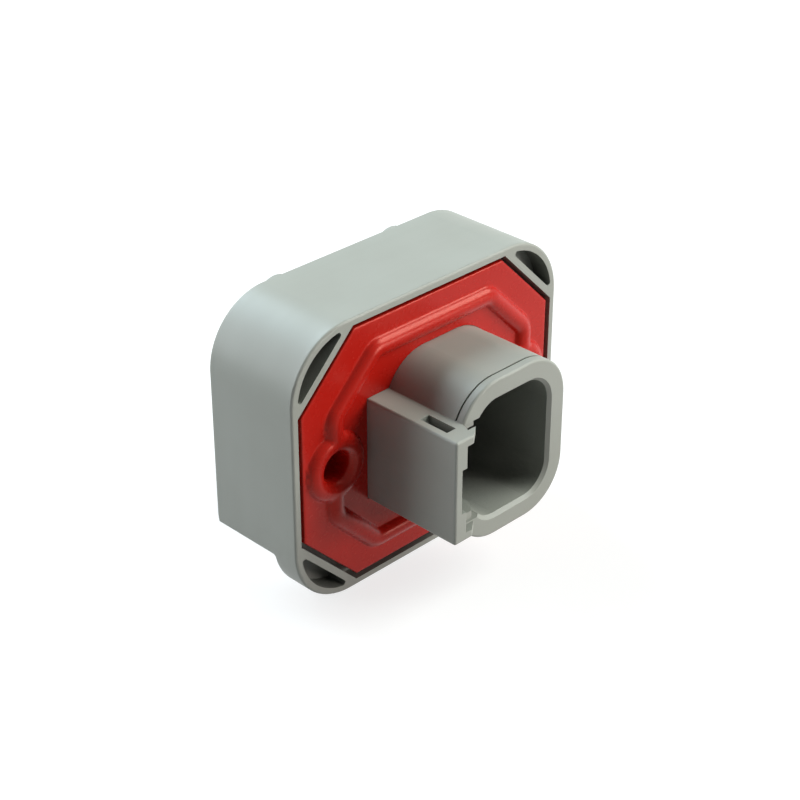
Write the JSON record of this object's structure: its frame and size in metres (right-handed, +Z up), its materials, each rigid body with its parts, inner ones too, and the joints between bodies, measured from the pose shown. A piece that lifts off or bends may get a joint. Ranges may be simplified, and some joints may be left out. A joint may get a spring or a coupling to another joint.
{
  "type": "sealed automotive connector header",
  "caption": "Right-angle sealed board header with a latching plug barrel on a gasketed panel flange.",
  "frame": {"origin": "on the plane of the flange's front face, midway between the two panel screws", "axes": "+X to the right seen from the front, -Y out of the front towards the plug, +Z up, away from the board"},
  "size_m": [0.0418, 0.029, 0.0342],
  "materials": {
    "housing_plastic": "fine moulded texture, satin grey thermoplastic",
    "gasket_silicone": "smooth satin red silicone",
    "pin_metal": "drawn copper alloy with bright tin plating",
    "insert_brass": "turned brass",
    "potting_resin": "cast dark resin",
    "aligner_plastic": "moulded black thermoplastic"
  },
  "bodies": {
    "root": {"housing": "housing_plastic", "panel_gasket": "gasket_silicone", "contact_pin_1": "pin_metal", "contact_pin_2": "pin_metal", "contact_pin_3": "pin_metal", "contact_pin_4": "pin_metal", "panel_insert_left": "insert_brass", "panel_insert_right": "insert_brass", "board_insert_left": "insert_brass", "board_insert_right": "insert_brass", "pin_potting": "potting_resin", "tail_aligner": "aligner_plastic"}
  },
  "joints": []
}
